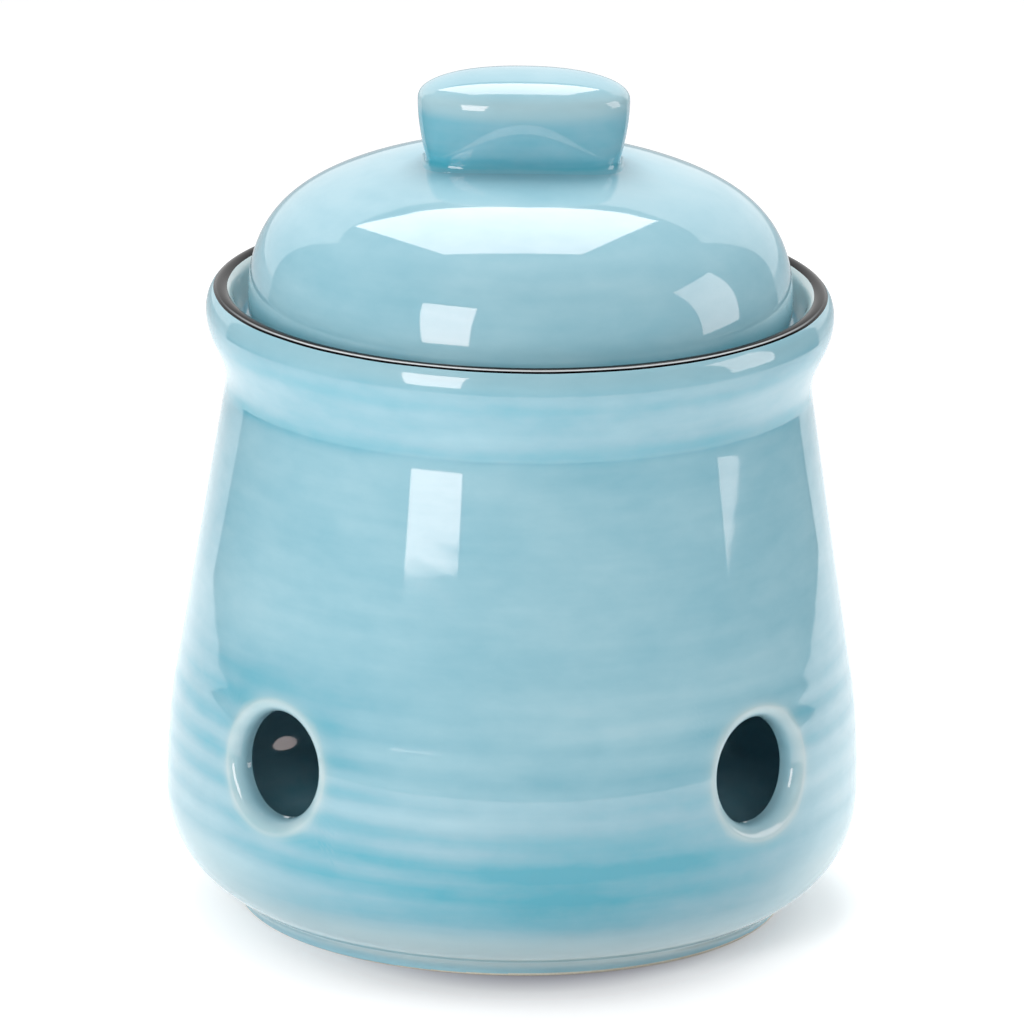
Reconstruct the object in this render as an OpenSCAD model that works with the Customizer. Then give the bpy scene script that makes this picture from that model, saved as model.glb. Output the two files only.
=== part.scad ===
// Ceramic garlic keeper: a vented, round-shouldered jar with a domed lift-off lid.
// Millimetres, Z up, origin at the centre of the face that the foot ring stands on.
// The front of the jar faces -Y.

/* [Jar] */
// Height of the jar, from the surface it stands on to the crest of its lip
jar_h = 118; // [100:1:140]
// Widest diameter, at the belly
belly_d = 130; // [124:1:150]
// Height of the widest ring of the belly
belly_z = 23; // [20:1:30]
// Height at which the belly's shoulder runs out into the straight taper
shoulder_z = 48; // [44:1:60]
// How far the foot of the taper lies inside the widest ring
shoulder_in = 2.2; // [1.6:0.2:4]
// Thickness of the fired wall
wall = 4.6; // [3.6:0.2:5.6]
// Thickness of the floor
floor_t = 5; // [4:0.5:7]

/* [Foot ring] */
// Outside diameter of the bare clay ring that the jar stands on
foot_d = 102; // [92:1:108]
// Width of the ring's flat face
foot_w = 5; // [3:0.5:8]
// Height of the ring
foot_h = 2.4; // [1.6:0.2:4]

/* [Mouth] */
// Diameter of the throat, the opening that garlic goes through
throat_d = 93; // [88:0.5:96]
// Height of the straight throat
throat_h = 6; // [4:0.5:8]
// Width of the ledge round the throat that carries the lid
ledge_w = 4.9; // [4.6:0.1:6]
// How far the ledge lies below the crest of the lip
ledge_drop = 7; // [6:0.5:9]
// How far the mouth widens from the ledge up to the crest
mouth_flare = 4.4; // [3.8:0.1:5.4]
// How far the lip rolls out past its crest
lip_roll = 2.7; // [2:0.1:3.6]
// How far the widest ring of the lip lies below the crest
lip_drop = 4.6; // [3.8:0.1:5.6]
// How far the neck lies inside the widest ring of the lip
neck_in = 3.7; // [2.4:0.1:4.6]
// How far the neck lies below the crest
neck_drop = 18.2; // [17.4:0.2:22]

/* [Rim band] */
// Width of the dark band on the inner side of the crest
band_in = 1.5; // [1:0.1:2]
// Width of the dark band on the outer side of the crest
band_out = 1.2; // [0.8:0.1:1.8]
// Thickness of the fired band
band_t = 0.5; // [0.3:0.1:0.8]

/* [Vents] */
// Number of air vents around the jar
vent_count = 4; // [3:1:6]
// Bore of each vent
vent_d = 19.8; // [14:0.2:23]
// Height of the vents' axes
vent_z = 38; // [35:1:48]
// How far each vent's mouth widens, on the radius
vent_flare = 1.6; // [0.8:0.2:2.4]

/* [Lid] */
// Radial clearance between the lid's widest ring and the foot of the flared mouth
lid_gap = 0.6; // [0.4:0.1:1.2]
// Height of the lid's widest ring above the ledge
lid_edge_h = 5.2; // [4.4:0.2:7]
// Height of the flat land that carries the knob, above the ledge
lid_h = 31.6; // [28:0.2:38]
// Thickness of the dome's wall
lid_wall = 4.5; // [3.5:0.25:5.5]
// Width of the rounded turn under the lid's edge
lid_turn = 2.4; // [1.8:0.2:2.8]
// Margin of the flat land around the knob's root
land_margin = 1; // [0.5:0.25:3]

/* [Lid flange] */
// Height of the ring that centres the lid in the throat
flange_h = 7; // [4:0.5:10]
// Thickness of that ring
flange_t = 3.7; // [3:0.1:5]
// Radial clearance of the ring in the throat
flange_gap = 0.8; // [0.4:0.1:1.2]

/* [Knob] */
// Length of the oval knob
knob_l = 39.4; // [32:0.2:42]
// Width of the oval knob
knob_w = 23.8; // [18:0.2:26]
// Height of the knob's widest ring above the land
knob_side_h = 11.6; // [9:0.2:15]
// Height of the rounded cap above that ring
knob_cap_h = 5.3; // [4:0.1:7]
// How far the knob narrows to its root, on each side
knob_waist = 2; // [1.4:0.1:2.6]

/* [Hidden] */
$fn = 96;

glaze_blue = "#A6D3E0";
glaze_dark = "#3B3536";
clay_bare = "#E9E2D3";

belly_r = belly_d / 2;
foot_r = foot_d / 2;
throat_r = throat_d / 2;
ledge_r = throat_r + ledge_w;
crest_r = ledge_r + mouth_flare;
lip_r = crest_r + lip_roll;
neck_r = lip_r - neck_in;
lip_z = jar_h - lip_drop;
ledge_z = jar_h - ledge_drop;
neck_z = jar_h - neck_drop;
throat_foot_z = ledge_z - throat_h;
floor_z = foot_h + floor_t;

vent_r = vent_d / 2;
vent_first = 45;                     // the first vent is this many degrees from the front
mouth_depth = 3.2;                   // each vent starts to widen this deep in the wall
cut_past = 6;                        // cutters run this far past the wall, out and in

throat_edge = 0.8;                   // chamfer on the ledge's inner edge
floor_round = 2.2;                   // slope in the corner between the wall and the floor
foot_edge = 0.4;                     // chamfer on the foot ring's outer edge
root_out = 0.6;                      // the belly starts this far outside the foot ring

lid_r = ledge_r - lid_gap;
lid_flat_r = lid_r - lid_turn;
lid_edge_z = ledge_z + lid_edge_h;
land_r = knob_l / 2 - knob_waist + land_margin;
land_z = ledge_z + lid_h;
flange_r = throat_r - flange_gap;
flange_in_r = flange_r - flange_t;
flange_edge = 1.2;                   // chamfer on the flange's lower edges

// --- curves ------------------------------------------------------------------

// Points along a cubic Bezier curve from a to d, without the last one.
function bezier(a, b, c, d, steps) = [
    for (i = [0 : steps - 1])
        let (t = i / steps, u = 1 - t)
        u * u * u * a + 3 * u * u * t * b + 3 * u * t * t * c + t * t * t * d
];

// Points of an elliptic arc. The angle runs from the top of the ellipse, and is
// positive towards larger radii.
function arc(centre, half_w, half_h, from, to, steps) = [
    for (i = [0 : steps])
        let (a = from + (to - from) * i / steps)
        centre + [half_w * sin(a), half_h * cos(a)]
];

// Each point of an open outline moved sideways by d, to the left of its own direction.
function beside(pts, d) = [
    for (i = [0 : len(pts) - 1])
        let (before = pts[max(i - 1, 0)],
             after = pts[min(i + 1, len(pts) - 1)],
             along = (after - before) / norm(after - before))
        pts[i] + d * [-along[1], along[0]]
];

function backwards(pts) = [for (i = [len(pts) - 1 : -1 : 0]) pts[i]];

// --- the jar's outlines, as [radius, height] -----------------------------------

neck_ease = 0.22;                    // the taper ends this far outside the neck
neck_blend = 2.6;                    // and this far below it
// How far each curve's inner control points lie from its ends.
foot_pull = [4.5, 2.8];
belly_pull = [13.8, 15];             // below and above the widest ring
taper_pull = [2.5, 1];               // at the taper's lower and upper end
neck_pull = [1, 5.5];                // below and above the neck
lip_pull = 5;
taper_low = [belly_r - shoulder_in, shoulder_z];
taper_high = [neck_r + neck_ease, neck_z - neck_blend];
taper_way = (taper_high - taper_low) / norm(taper_high - taper_low);

// The round under the belly, from the foot up to the widest ring.
belly_low = bezier([foot_r + root_out, foot_h],
                   [foot_r + root_out, foot_h] + foot_pull,
                   [belly_r, belly_z - belly_pull[0]],
                   [belly_r, belly_z], 12);

// The belly's shoulder, from the widest ring up into the taper.
belly_high = bezier([belly_r, belly_z],
                    [belly_r, belly_z + belly_pull[1]],
                    taper_low - taper_pull[0] * taper_way,
                    taper_low, 8);

// The hollow of the neck, from the taper out to the widest ring of the lip.
neck_low = bezier(taper_high,
                  taper_high + taper_pull[1] * taper_way,
                  [neck_r, neck_z - neck_pull[0]],
                  [neck_r, neck_z], 4);
neck_high = bezier([neck_r, neck_z],
                   [neck_r, neck_z + neck_pull[1]],
                   [lip_r, lip_z - lip_pull],
                   [lip_r, lip_z], 10);

// The lip is part of an ellipse outside its crest, and of a smaller one inside it,
// which runs down into the funnel of the mouth.
mouth_round = [2.6, 3.4];
mouth_turn = -70;
mouth_z = jar_h - mouth_round[1];
funnel_pull = [0.5, 1.8];
funnel_foot_pull = [0.9, 1.6];
band_out_a = asin(band_out / lip_roll);
band_in_a = -asin(band_in / mouth_round[0]);
lip_outer = arc([crest_r, lip_z], lip_roll, lip_drop, 90, band_out_a, 8);
band_crest = concat(
    arc([crest_r, lip_z], lip_roll, lip_drop, band_out_a, 0, 4),
    arc([crest_r, mouth_z], mouth_round[0], mouth_round[1], band_in_a / 4, band_in_a, 3)
);
band_bed = beside(band_crest, band_t);
lip_inner = arc([crest_r, mouth_z], mouth_round[0], mouth_round[1], band_in_a, mouth_turn, 4);
funnel_top = lip_inner[len(lip_inner) - 1];
funnel = bezier(funnel_top,
                funnel_top - funnel_pull,
                [ledge_r, ledge_z] + funnel_foot_pull,
                [ledge_r, ledge_z], 5);

jar_outside = concat(belly_low, belly_high, [taper_low], neck_low, neck_high);
jar_inside = beside(concat(belly_low, belly_high, [taper_low], neck_low), wall);

// Under the ledge the wall thickens inwards at 45 degrees to carry the throat.
gallery_low_z = throat_foot_z - (neck_r - wall - throat_r);
jar_hollow = [
    for (p = jar_inside)
        if (p[1] > floor_z + floor_round / 2 && p[1] < gallery_low_z) p
];

module jar_outline() {
    polygon(concat(
        [[0, foot_h]],
        jar_outside,
        lip_outer,
        band_bed,
        lip_inner,
        funnel,
        [[ledge_r, ledge_z],
         [throat_r + throat_edge, ledge_z],
         [throat_r, ledge_z - throat_edge],
         [throat_r, throat_foot_z]],
        backwards(jar_hollow),
        [[jar_hollow[0][0] - floor_round, floor_z],
         [0, floor_z]]
    ));
}

// --- the vents -------------------------------------------------------------------

// Radius of the wall's outer face at the vents' height, and its lean from upright.
vent_wall_r = lookup(vent_z, [for (p = jar_outside) [p[1], p[0]]]);
vent_lean = atan2(taper_low[0] - taper_high[0], taper_high[1] - taper_low[1]);

// One vent: a level bore, and a mouth that widens square to the wall.
module vent_cutter() {
    translate([0, -vent_wall_r, vent_z]) {
        rotate([-90, 0, 0])
            translate([0, 0, -cut_past])
                cylinder(h = wall + 2 * cut_past, d = vent_d);
        rotate([90 - vent_lean, 0, 0])
            translate([0, 0, -mouth_depth])
                cylinder(h = 2 * mouth_depth,
                         r1 = vent_r,
                         r2 = vent_r + 2 * vent_flare);
    }
}

// --- the jar ----------------------------------------------------------------------

module jar_body() {
    color(glaze_blue)
        difference() {
            rotate_extrude() jar_outline();
            for (i = [0 : vent_count - 1])
                rotate([0, 0, vent_first + i * 360 / vent_count]) vent_cutter();
        }
}

module foot_ring() {
    color(clay_bare)
        rotate_extrude()
            polygon([
                [foot_r - foot_w, 0],
                [foot_r - foot_edge, 0],
                [foot_r, foot_edge],
                [foot_r, foot_h],
                [foot_r - foot_w - 2 * foot_edge, foot_h],
                [foot_r - foot_w - 2 * foot_edge, 2 * foot_edge]
            ]);
}

module rim_band() {
    color(glaze_dark)
        rotate_extrude()
            polygon(concat(band_crest, backwards(band_bed)));
}

// --- the lid's outlines -------------------------------------------------------------

crown_in = 18;                       // the dome's steep side runs out into its crown
crown_drop = 3.6;                    // this far inside its edge and below its land
crown = [lid_r - crown_in, land_z - crown_drop];
side_pull = 13.2;                    // up from the lid's edge
crown_out_pull = [11.2, -4];         // outwards from the crown's ring
crown_in_pull = [-8, 2.9];           // inwards from it
land_pull = 7;
lid_under = bezier([lid_flat_r, ledge_z],
                   [lid_flat_r + lid_turn * 0.6, ledge_z],
                   [lid_r, ledge_z + lid_edge_h * 0.4],
                   [lid_r, lid_edge_z], 8);
lid_side = bezier([lid_r, lid_edge_z],
                  [lid_r, lid_edge_z + side_pull],
                  crown + crown_out_pull,
                  crown, 16);
lid_top = bezier(crown,
                 crown + crown_in_pull,
                 [land_r + land_pull, land_z],
                 [land_r, land_z], 9);
lid_hollow = [
    for (p = beside(concat(lid_side, lid_top), lid_wall))
        if (p[1] > lid_edge_z && p[0] > land_r) p
];

module lid_dome() {
    color(glaze_blue)
        rotate_extrude()
            polygon(concat(
                [[flange_in_r, ledge_z]],
                lid_under,
                lid_side,
                lid_top,
                [[land_r, land_z],
                 [0, land_z],
                 [0, land_z - lid_wall]],
                backwards(lid_hollow),
                [[flange_in_r, ledge_z + lid_edge_h / 2]]
            ));
}

module lid_flange() {
    color(glaze_blue)
        rotate_extrude()
            polygon([
                [flange_in_r, ledge_z],
                [flange_in_r, ledge_z - flange_h + flange_edge],
                [flange_in_r + flange_edge, ledge_z - flange_h],
                [flange_r - flange_edge, ledge_z - flange_h],
                [flange_r, ledge_z - flange_h + flange_edge],
                [flange_r, ledge_z]
            ]);
}

// --- the knob: oval rings stacked from its root to its crown --------------------------

knob_sides = 48;                     // points round each oval
root_square = 4;                     // exponent of the oval at the root: 2 is an ellipse,
top_square = 2.2;                    // more is squarer; and the same from the widest ring up
cap_square = 2.2;                    // exponent of the cap's own outline
knob_hollow = 2;                     // exponent of the flank: 1 is straight, more is hollower
flank_rings = 6;
cap_rings = 8;

function signed_pow(v, e) = sign(v) * pow(abs(v), e);
function oval(half_l, half_w, z, square) = [
    for (i = [0 : knob_sides - 1])
        let (a = 360 * i / knob_sides)
        [half_l * signed_pow(cos(a), 2 / square),
         half_w * signed_pow(sin(a), 2 / square),
         land_z + z]
];

// The flank widens from the root and grows rounder, and the cap closes it.
knob_rings = concat(
    [for (i = [0 : flank_rings - 1])
        let (t = i / flank_rings, inset = knob_waist * pow(1 - t, knob_hollow))
        oval(knob_l / 2 - inset,
             knob_w / 2 - inset,
             knob_side_h * t,
             root_square + (top_square - root_square) * t)],
    [for (i = [0 : cap_rings - 1])
        let (a = 90 * i / cap_rings,
             share = pow(cos(a), 2 / cap_square),
             rise = pow(sin(a), 2 / cap_square))
        oval(knob_l / 2 * share,
             knob_w / 2 * share,
             knob_side_h + knob_cap_h * rise,
             top_square)]
);
knob_points = concat(
    [for (ring = knob_rings) each ring],
    [[0, 0, land_z], [0, 0, land_z + knob_side_h + knob_cap_h]]
);

// Two triangles for each step along each pair of rings, and a fan at either end.
function ring_faces(rings, sides) = [
    for (r = [0 : rings - 2], i = [0 : sides - 1])
        let (low = r * sides, high = low + sides, j = (i + 1) % sides)
        each [[low + i, high + i, high + j], [low + i, high + j, low + j]]
];
function end_faces(rings, sides) = [
    for (i = [0 : sides - 1])
        let (last = (rings - 1) * sides, j = (i + 1) % sides)
        each [[rings * sides, i, j], [rings * sides + 1, last + j, last + i]]
];

module lid_knob() {
    color(glaze_blue)
        polyhedron(knob_points,
                   concat(ring_faces(len(knob_rings), knob_sides),
                          end_faces(len(knob_rings), knob_sides)),
                   convexity = 4);
}

jar_body();
foot_ring();
rim_band();
lid_dome();
lid_flange();
lid_knob();
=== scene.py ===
import math
import bpy
import numpy as np
from mathutils import Matrix, Vector


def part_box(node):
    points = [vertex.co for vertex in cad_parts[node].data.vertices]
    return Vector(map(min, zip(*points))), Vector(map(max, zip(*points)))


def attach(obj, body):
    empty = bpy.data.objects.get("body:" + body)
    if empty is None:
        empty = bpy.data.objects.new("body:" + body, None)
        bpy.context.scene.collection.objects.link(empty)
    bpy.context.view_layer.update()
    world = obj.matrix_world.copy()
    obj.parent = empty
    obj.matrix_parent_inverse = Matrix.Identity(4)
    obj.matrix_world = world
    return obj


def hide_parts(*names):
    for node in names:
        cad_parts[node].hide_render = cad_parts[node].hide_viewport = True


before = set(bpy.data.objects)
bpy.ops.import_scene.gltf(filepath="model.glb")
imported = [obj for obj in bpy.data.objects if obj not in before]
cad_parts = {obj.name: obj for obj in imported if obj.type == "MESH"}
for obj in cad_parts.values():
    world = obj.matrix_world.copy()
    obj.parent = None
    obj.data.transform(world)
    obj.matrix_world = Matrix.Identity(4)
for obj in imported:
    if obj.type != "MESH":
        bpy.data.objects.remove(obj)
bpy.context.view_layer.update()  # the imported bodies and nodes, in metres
mm = 0.001  # every shape below is worked out in millimetres
print("frame loaded:", ", ".join(sorted(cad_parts)))


# Points along a cubic Bezier, (1-t)^3 a + 3(1-t)^2 t b + 3(1-t) t^2 c + t^3 d, without the last one.
def bezierCurve(a, b, c, d, steps=48):
    a, b, c, d = (np.array(p, float) for p in (a, b, c, d))
    t = np.linspace(0, 1, steps, endpoint=False)[:, None]
    u = 1 - t
    return u**3 * a + 3 * u**2 * t * b + 3 * u * t**2 * c + t**3 * d


# The left-hand normal of an open outline at each of its points.
def leftOf(points):
    along = np.gradient(points, axis=0)
    along /= np.linalg.norm(along, axis=1)[:, None]
    return np.stack([-along[:, 1], along[:, 0]], 1)


# The same outline with even steps of about `step`, both ends kept.
def evenly(points, step):
    length = np.r_[0, np.cumsum(np.linalg.norm(np.diff(points, axis=0), axis=1))]
    at = np.linspace(0, length[-1], max(2, int(round(length[-1] / step)) + 1))
    return np.stack([np.interp(at, length, points[:, k]) for k in (0, 1)], 1)


# The stretch of a rising outline between two heights, with a point at each.
def between(points, low, high):
    inner = points[(points[:, 1] > low + 1e-6) & (points[:, 1] < high - 1e-6)]
    ends = [[np.interp(z, points[:, 1], points[:, 0]), z] for z in (low, high)]
    return np.vstack([ends[:1], inner, ends[1:]])


# Rises from 0 at low to 1 at high as 3 t^2 - 2 t^3, or falls, where low is the greater.
def smoothStep(low, high, x):
    t = np.clip((x - low) / (high - low), 0, 1)
    return t * t * (3 - 2 * t)


# The amount that a dictionary holds under `key`, eased in along x by a smooth step between the two
# values under key + "At".
def eased(values, key, x):
    return values[key] * smoothStep(*values[key + "At"], x)


# x = r sin(phi), y = -r cos(phi): phi is counted from the front, -Y, towards +X.
def ringPoint(radius, phi, height):
    radius, phi, height = np.broadcast_arrays(radius, phi, height)
    return np.stack([radius * np.sin(phi), -radius * np.cos(phi), height], -1)


# The reverse of ringPoint: the angle, the radius and the height of each point.
def polar(points):
    x, y, z = points.T
    return np.arctan2(x, -y), np.hypot(x, y), z


# The angles of a ring's columns, as a row of a grid.
def around(columns):
    return np.radians(np.arange(columns) * 360 / columns)[None, :]


# Points of an outline at one height.
def level(height, *radii):
    return np.array([[radius, height] for radius in radii])


# A sum of sines of an angle, each given as (amount, waves in a turn, phase).
def waves(phi, terms):
    return sum(amount * np.sin(count * phi + phase) for amount, count, phase in terms)


# Quads between neighbouring rows of a grid whose columns close round.
def gridQuads(rows, columns, closeRows=False):
    r = np.arange(rows if closeRows else rows - 1)[:, None]
    c = np.arange(columns)[None, :]
    low, high, right = r * columns, (r + 1) % rows * columns, (c + 1) % columns
    return np.stack([low + c, low + right, high + right, high + c], -1).reshape(-1, 4)


# The quads and triangles of rows that close round, with a pole before the first row and one after the
# last. The poles are the two vertices that follow the rows.
def closedRows(rows, columns):
    ring = np.arange(columns)
    last = (rows - 1) * columns + ring
    below, above = (np.stack([np.full(columns, pole), row, np.roll(row, -1)], 1)
                    for pole, row in ((rows * columns, ring), (rows * columns + 1, last)))
    return gridQuads(rows, columns), np.vstack([below[:, ::-1], above])


# Writes whole arrays into a mesh, turned so that the closed surface encloses a positive volume, the sum
# of a . (b x c) / 6 over its triangles. The first slot is the piece's own, and faceSlots numbers them.
def addPiece(name, points, quads, triangles, body, node, slots, values, faceSlots=None):
    triangles = np.asarray(triangles, int).reshape(-1, 3)
    used = np.unique(np.concatenate([quads.ravel(), triangles.ravel()]))
    renumber = np.zeros(len(points), int)
    renumber[used] = np.arange(len(used))
    points, quads, triangles = points[used] * mm, renumber[quads], renumber[triangles]
    halves = np.concatenate([quads[:, [0, 1, 2]], quads[:, [0, 2, 3]], triangles])
    a, b, c = (points[halves[:, k]] for k in range(3))
    if (a * np.cross(b, c)).sum() < 0:
        quads, triangles = quads[:, ::-1], triangles[:, ::-1]
    corners = np.concatenate([quads.ravel(), triangles.ravel()])
    starts = np.concatenate([np.arange(len(quads)) * 4, len(quads) * 4 + np.arange(len(triangles)) * 3])
    mesh = bpy.data.meshes.new(name)
    mesh.vertices.add(len(points))
    mesh.vertices.foreach_set("co", points.astype(np.float32).ravel())
    mesh.loops.add(len(corners))
    mesh.loops.foreach_set("vertex_index", corners.astype(np.int32))
    mesh.polygons.add(len(starts))
    mesh.polygons.foreach_set("loop_start", starts.astype(np.int32))
    for key, value in values.items():
        layer = mesh.attributes.new(key, "FLOAT", "POINT")
        layer.data.foreach_set("value", value[used].astype(np.float32))
    mesh.update(calc_edges=True)
    mesh.validate()
    mesh.shade_smooth()
    for slot in slots:
        mesh.materials.append(finishes[slot])
    if faceSlots is not None:
        mesh.polygons.foreach_set("material_index", faceSlots.astype(np.int32))
    piece = bpy.data.objects.new(name, mesh)
    bpy.context.scene.collection.objects.link(piece)
    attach(piece, body)
    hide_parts(node)
    print(f"{name}: {len(halves)} triangles")


# A closed surface of revolution. The outline's first and last points lie on the axis.
def revolve(outline, columns):
    rings = ringPoint(outline[1:-1, :1], around(columns), outline[1:-1, 1:])
    points = np.vstack([rings.reshape(-1, 3), [[0, 0, outline[0, 1]], [0, 0, outline[-1, 1]]]])
    return points, *closedRows(len(outline) - 2, columns)


# A closed section, as [radius, height], swept round the axis: points, quads and the quads' middles.
def sweep(section, columns):
    points = ringPoint(section[:, :1], around(columns), section[:, 1:]).reshape(-1, 3)
    quads = gridQuads(len(section), columns, closeRows=True)
    return points, quads, points[quads].mean(1)


# The lower side of a ring's section, from its inner to its outer radius, with both edges rounded.
def roundedBase(inner, outer, z, edge):
    quarter = np.radians(np.linspace(0, 90, 9))[:, None]
    lowIn = np.hstack([inner + edge - edge * np.cos(quarter), z + edge - edge * np.sin(quarter)])
    lowOut = np.hstack([outer - edge + edge * np.sin(quarter), z + edge - edge * np.cos(quarter)])
    return np.vstack([lowIn, [[(inner + outer) / 2, z]], lowOut])


# sRGB hex to linear: c / 12.92 below 0.04045, else ((c + 0.055) / 1.055) ^ 2.4.
def linear(code):
    channels = [int(code[k:k + 2], 16) / 255 for k in (1, 3, 5)]
    return tuple(c / 12.92 if c <= 0.04045 else ((c + 0.055) / 1.055) ** 2.4 for c in channels) + (1.0,)


# A node with its settings, and its inputs either set or linked from another node's output.
def addNode(material, kind, settings=None, inputs=None):
    node = material.node_tree.nodes.new(kind)
    for key, value in (settings or {}).items():
        setattr(node, key, value)
    for key, value in (inputs or {}).items():
        if isinstance(value, bpy.types.NodeSocket):
            material.node_tree.links.new(value, node.inputs[key])
        else:
            node.inputs[key].default_value = value
    return node


def emptyMaterial(name):
    material = bpy.data.materials.new(name)
    material.use_nodes = True
    material.node_tree.nodes.clear()
    return material


# A colour ramp on `factor`, from a list of (position, hex).
def addRamp(material, factor, stops):
    ramp = addNode(material, "ShaderNodeValToRGB", inputs={"Fac": factor})
    while len(ramp.color_ramp.elements) < len(stops):
        ramp.color_ramp.elements.new(0.5)
    for element, (position, code) in zip(ramp.color_ramp.elements, stops):
        element.position, element.color = position, linear(code)
    return ramp.outputs["Color"]


# Noise on Object coordinates. size is the width of one cloud in mm, flat squeezes it in height.
def addNoise(material, size, flat=1.0, detail=3.0, roughness=0.5, shift=0.0):
    place = addNode(material, "ShaderNodeTexCoord")
    mapping = addNode(material, "ShaderNodeMapping",
                      inputs={"Vector": place.outputs["Object"],
                              "Location": (shift, shift * 0.7, shift * 1.3),
                              "Scale": (1.0, 1.0, flat)})
    return addNode(material, "ShaderNodeTexNoise",
                   inputs={"Vector": mapping.outputs["Vector"], "Scale": 1 / (size * mm),
                           "Detail": detail, "Roughness": roughness}).outputs["Fac"]


# A value that the mesh holds at each of its points.
def addValue(material, name):
    return addNode(material, "ShaderNodeAttribute", {"attribute_name": name}).outputs["Fac"]


def addMath(material, operation, *values, clamp=False):
    settings = {"operation": operation, "use_clamp": clamp}
    return addNode(material, "ShaderNodeMath", settings, dict(enumerate(values))).outputs[0]


def addBump(material, height, strength, distance):
    inputs = {"Strength": strength, "Distance": distance * mm, "Height": height}
    return addNode(material, "ShaderNodeBump", None, inputs).outputs["Normal"]


# A value carried from one span to another.
def addRange(material, value, span, low=0.0, high=1.0, interpolation="LINEAR"):
    settings = {"interpolation_type": interpolation}
    inputs = {"Value": value, "From Min": span[0], "From Max": span[1], "To Min": low, "To Max": high}
    return addNode(material, "ShaderNodeMapRange", settings, inputs).outputs["Result"]


def addOutput(material, surface):
    addNode(material, "ShaderNodeOutputMaterial", inputs={"Surface": surface})


# The shader and the output, which end each material of the object.
def addSurface(material, inputs):
    addOutput(material, addNode(material, "ShaderNodeBsdfPrincipled", inputs=inputs).outputs["BSDF"])


def addMix(material, factor, low, high, blend="MIX"):
    settings = {"data_type": "RGBA", "blend_type": blend}
    return addNode(material, "ShaderNodeMix", settings, {0: factor, 6: low, 7: high}).outputs[2]


blueGlazeLook = {
    "clouds": 26.0, "cloudShare": 0.46,  # width of the soft clouds in the glaze, mm, and their share
    "mottle": 7.0, "mottleShare": 0.20,  # the finer mottling
    "streaks": 34.0, "streakShare": 0.26,  # the flat streaks left by the dipping
    "poolShare": 0.5, "palest": 0.02,  # how much pooling deepens the shade, and the shade without any
    "ripple": 9.0,  # width of the slow ripples of the fired surface
    "peel": 1.6, "peelShare": 0.05,  # width of its fine orange peel, and its height in ripples
    "bump": 0.5, "bumpDeep": 0.022,  # strength, and height in mm
    "roughness": 0.045,
    "ior": 1.6,
    "mirrorTint": (1.0, 0.80, 0.76, 1.0),  # its highlights are a warm white over the blue
    "stops": [(0.0, "#BEDCE4"), (0.36, "#A5CFDB"), (0.62, "#8EC1D0"), (1.0, "#50AFC3")],
    "thin": "#D5DFDB",
    "thinMottle": 0.6, "thinLeast": 0.55,  # how the mottling breaks up the thin glaze
}


# Pale blue celadon glaze, dipped and gloss-fired over stoneware: a glassy coat whose colour is cloudy,
# deepens where it pooled and turns milky where it ran thin over an edge. Its pool and thin values also
# carry painted shade and painted light.
def blueGlaze(look):
    material = emptyMaterial("blue celadon glaze, dipped and gloss-fired")
    clouds = addNoise(material, look["clouds"], flat=1.8, detail=3, roughness=0.55)
    mottle = addNoise(material, look["mottle"], flat=2.2, detail=3, roughness=0.6, shift=0.31)
    streaks = addNoise(material, look["streaks"], flat=9.0, detail=2, roughness=0.5, shift=0.57)
    pooled, thin = addValue(material, "pool"), addValue(material, "thin")
    shade = look["palest"]
    for layer, share in ((clouds, "cloudShare"), (mottle, "mottleShare"), (streaks, "streakShare")):
        shade = addMath(material, "MULTIPLY_ADD", layer, look[share], shade)
    shade = addMath(material, "MULTIPLY_ADD", pooled, look["poolShare"], shade, clamp=True)
    colour = addRamp(material, shade, look["stops"])
    patchy = addMath(material, "MULTIPLY_ADD", mottle, look["thinMottle"], look["thinLeast"])
    broken = addMath(material, "MULTIPLY", thin, patchy, clamp=True)
    colour = addMix(material, broken, colour, linear(look["thin"]))
    ripple = addNoise(material, look["ripple"], flat=1.6, detail=1, shift=0.13)
    peel = addNoise(material, look["peel"], detail=1, shift=0.83)
    height = addMath(material, "MULTIPLY_ADD", peel, look["peelShare"], ripple)
    addSurface(material, {"Base Color": colour, "Roughness": look["roughness"], "IOR": look["ior"],
                          "Specular Tint": look["mirrorTint"],
                          "Normal": addBump(material, height, look["bump"], look["bumpDeep"])})
    return material


darkGlazeLook = {
    "brush": 5.0,  # length of the brush's thick and thin places, mm
    "roughness": 0.10, "roughSpread": 0.06,
    "ior": 1.2,
    "stops": [(0.3, "#050506"), (0.7, "#0E0D0E")],
    "paintedHighlight": "#DCE1E3",  # a painted highlight along the lip's edge, pale like the glaze under the band
}


# Iron-brown glaze, banded on with a brush and fired: nearly black, with a soft metallic sheen and a pale
# painted highlight along the lip's edge.
def darkGlaze(look):
    material = emptyMaterial("iron-black glaze, banded on and fired")
    brush = addNoise(material, look["brush"], detail=2, roughness=0.6, shift=0.2)
    # The colour is mixed towards a pale painted highlight along the lip's edge.
    colour = addMix(material, addValue(material, "paintedHighlight"), addRamp(material, brush, look["stops"]),
                    linear(look["paintedHighlight"]))
    spread = look["roughSpread"]
    rough = addMath(material, "MULTIPLY_ADD", brush, spread, look["roughness"] - spread / 2)
    addSurface(material, {"Base Color": colour, "Roughness": rough, "IOR": look["ior"]})
    return material


clayLook = {
    "patches": 12.0, "patchShare": 0.6,  # width of the slightly darker patches, mm, and their share
    "grog": 0.7, "grogShare": 0.4,  # grain of the clay, drawn as coarse as it needs to show
    "bump": 0.6, "bumpDeep": 0.08,  # strength, and height in mm
    "roughness": 0.82, "ior": 1.45,
    "stops": [(0.25, "#CFC3AE"), (0.55, "#E2D9C8"), (0.8, "#EDE6D9")],
}


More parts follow.
